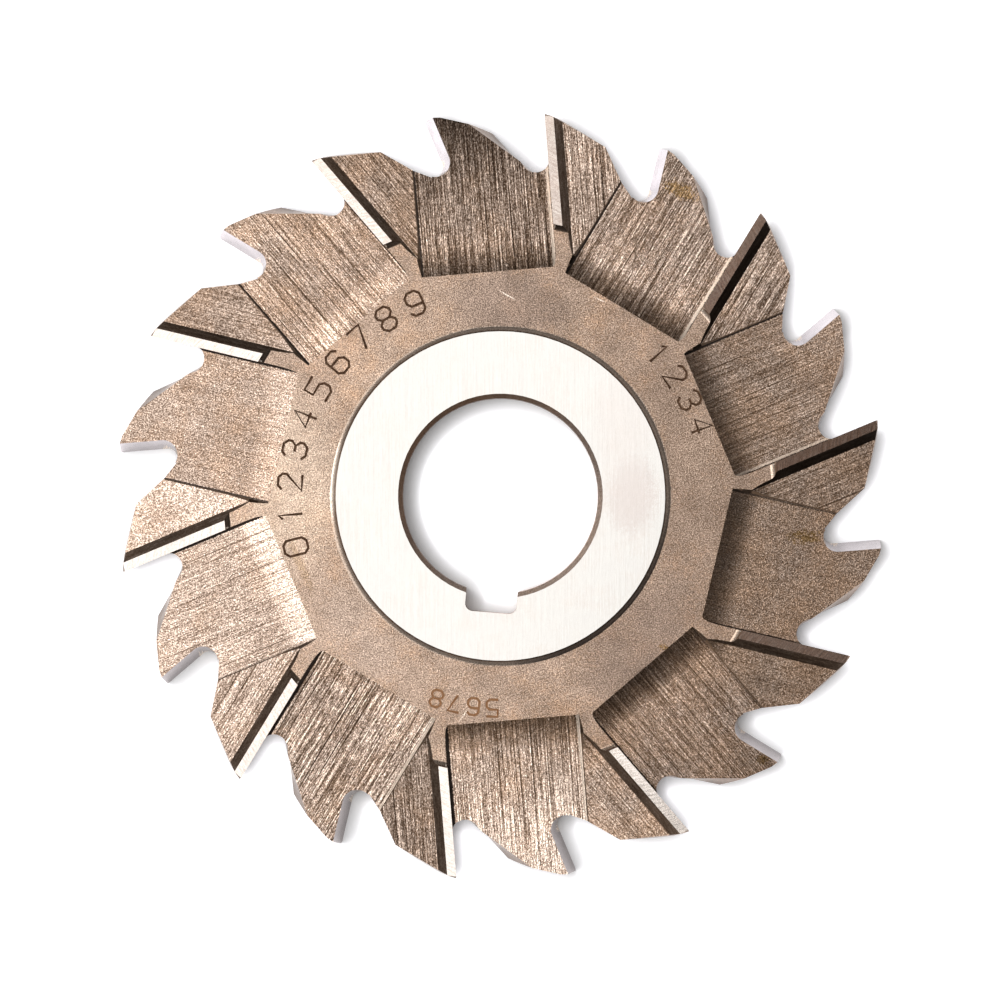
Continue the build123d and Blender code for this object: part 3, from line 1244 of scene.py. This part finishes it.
@dataclass(frozen=True)
class Studio:
    """Pale floor, soft light and the camera, for a view straight down on the cutter.

    Lengths are in metres and angles in degrees. Right and up are those of the picture.
    """

    floor_level: float = -0.0025
    floor_size: float = 12.0
    floor_colour: Colour = (0.93, 0.93, 0.93)
    roll: float = 5.0
    camera_height: float = 0.6
    picture_width: int = 1000
    pixels_per_metre: float = 7700.0
    front_level: float = 0.0025
    middle_px: Point = (500.4, 496.0)
    sensor_width: float = 36.0
    light_height: float = 0.9
    light_turn: float = -23.7
    light_reach: Point = (-0.85, 0.1)
    light_depth: Point = (-0.6, 0.32)
    light_radiance: float = 2.6
    zenith_radiance: float = 0.2
    horizon_radiance: float = 0.04
    left_radiance: float = 0.8
    wall_radiance: float = 0.4
    glow_colour: Colour = (0.965, 0.955, 1.0)
    floor_glow: float = 0.88
    shade_reach: float = 0.0026
    shade_power: float = 3.9
    shade_direction: tuple[float, float, float] = (-0.75, 0.2, 0.65)

    def on_picture(self, right: float, up: float, height: float) -> Vector:
        """Gives the place of a point that is measured along the picture's own directions."""
        return Matrix.Rotation(math.radians(self.roll), 3, "Z") @ Vector((right, up, height))

    def build(self) -> None:
        """Makes the floor, the light, the world and the camera."""
        self._floor()
        self._light()
        self._world()
        self._camera()

    def _floor(self) -> None:
        """Lays a large matt floor under the cutter."""
        mesh = bpy.data.meshes.new("studio_floor")
        half = self.floor_size / 2
        signs = ((-1, -1), (1, -1), (1, 1), (-1, 1))
        corners = [(x * half, y * half, self.floor_level) for x, y in signs]
        mesh.from_pydata(corners, [], [(0, 1, 2, 3)])
        shader = Shader(bpy.data.materials.new("floor_paper"))
        inputs = {"Color": (*self.floor_colour, 1.0), "Roughness": 0.0}
        paper = shader.add("ShaderNodeBsdfDiffuse", None, inputs).outputs["BSDF"]
        path = shader.add("ShaderNodeLightPath")
        seen = Signal(shader, path.outputs["Is Camera Ray"])
        for kind in ("Glossy", "Transmission"):
            seen = seen.most(Signal(shader, path.outputs[f"Is {kind} Ray"]))
        # Painted shadow: ambient occlusion, tilted toward the lamp, dims the floor's glow beside the cutter,
        # so that a short shadow with a faint lilac tint falls on the side away from the lamp
        toward = shader.vector(*self.on_picture(*self.shade_direction).normalized())
        inputs = {"Distance": self.shade_reach, "Normal": toward}
        around = shader.add("ShaderNodeAmbientOcclusion", {"samples": 8}, inputs)
        share = seen * Signal(shader, around.outputs["AO"]) ** self.shade_power
        inputs = {"Color": (*self.glow_colour, 1.0), "Strength": self.floor_glow}
        glow = shader.add("ShaderNodeEmission", None, inputs)
        shaded = shader.add("ShaderNodeMixShader", None, {0: share, 2: glow.outputs["Emission"]})
        both = shader.add("ShaderNodeAddShader", None, {0: paper, 1: shaded.outputs["Shader"]})
        shader.add("ShaderNodeOutputMaterial", None, {"Surface": both.outputs["Shader"]})
        mesh.materials.append(shader.owner)
        floor = add_object("studio_floor", mesh)

    def _light(self) -> None:
        """Hangs one large soft light up to the left, with its right edge just past overhead."""
        lamp = bpy.data.lights.new("soft_light", "AREA")
        lamp.shape = "RECTANGLE"
        lamp.size = self.light_reach[1] - self.light_reach[0]
        lamp.size_y = self.light_depth[1] - self.light_depth[0]
        lamp.energy = self.light_radiance * math.pi * lamp.size * lamp.size_y
        holder = add_object("soft_light", lamp)
        turn = Matrix.Rotation(math.radians(self.light_turn), 3, "Z")
        middle = turn @ Vector((sum(self.light_reach) / 2, sum(self.light_depth) / 2, self.light_height))
        holder.location = self.on_picture(*middle)
        holder.rotation_euler = (0.0, 0.0, math.radians(self.roll + self.light_turn))
        holder.visible_camera = False

    def _world(self) -> None:
        """Fills the room with dim light, stronger at the left and low around the walls."""
        world = bpy.data.worlds.new("studio_room")
        shader = Shader(world)
        x, y, z = shader.parts(shader.add("ShaderNodeTexCoord").outputs["Generated"])
        left = self.on_picture(-1.0, 0.0, 0.0)
        overhead = z.step(0.1, 1.0) * (self.zenith_radiance - self.horizon_radiance)
        overhead += self.horizon_radiance
        aside = (x * left.x + y * left.y).step(0.2, 0.9) * z.step(0.0, 0.35) * self.left_radiance
        around = z.step(0.85, 0.45) * self.wall_radiance
        strength = overhead + aside.most(around)
        inputs = {"Color": (1.0, 1.0, 1.0, 1.0), "Strength": strength}
        light = shader.add("ShaderNodeBackground", None, inputs)
        shader.add("ShaderNodeOutputWorld", None, {"Surface": light.outputs["Background"]})
        bpy.context.scene.world = world

    def _camera(self) -> None:
        """Sets the camera straight above, so that the cutter's front face has the picture's scale."""
        distance = self.camera_height - self.front_level
        camera = bpy.data.cameras.new("camera")
        camera.sensor_width = self.sensor_width
        camera.lens = self.sensor_width * self.pixels_per_metre * distance / self.picture_width
        holder = add_object("camera", camera)
        right = (self.picture_width / 2 - self.middle_px[0]) / self.pixels_per_metre
        up = (self.middle_px[1] - self.picture_width / 2) / self.pixels_per_metre
        holder.location = self.on_picture(right, up, self.camera_height)
        holder.rotation_euler = (0.0, 0.0, math.radians(self.roll))
        bpy.context.scene.camera = holder


def main() -> None:
    """Builds the cutter and the studio, and reports each piece."""
    logging.basicConfig(level=logging.INFO, format="%(name)s: %(message)s")
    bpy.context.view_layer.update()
    bpy.context.scene.view_settings.view_transform = "Standard"
    body = CutterBody()
    piece = body.build()
    depsgraph = bpy.context.evaluated_depsgraph_get()
    mesh = bpy.data.meshes.new_from_object(piece.evaluated_get(depsgraph))
    bpy.data.objects.remove(piece.modifiers["engraving"].object)
    piece.modifiers.clear()
    piece.data = mesh
    body.dress(mesh)
    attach(piece, BODY)
    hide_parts(NODE)
    LOG.info("%s: %d faces", piece.name, len(mesh.polygons))
    Studio().build()


if __name__ == "__main__":
    main()
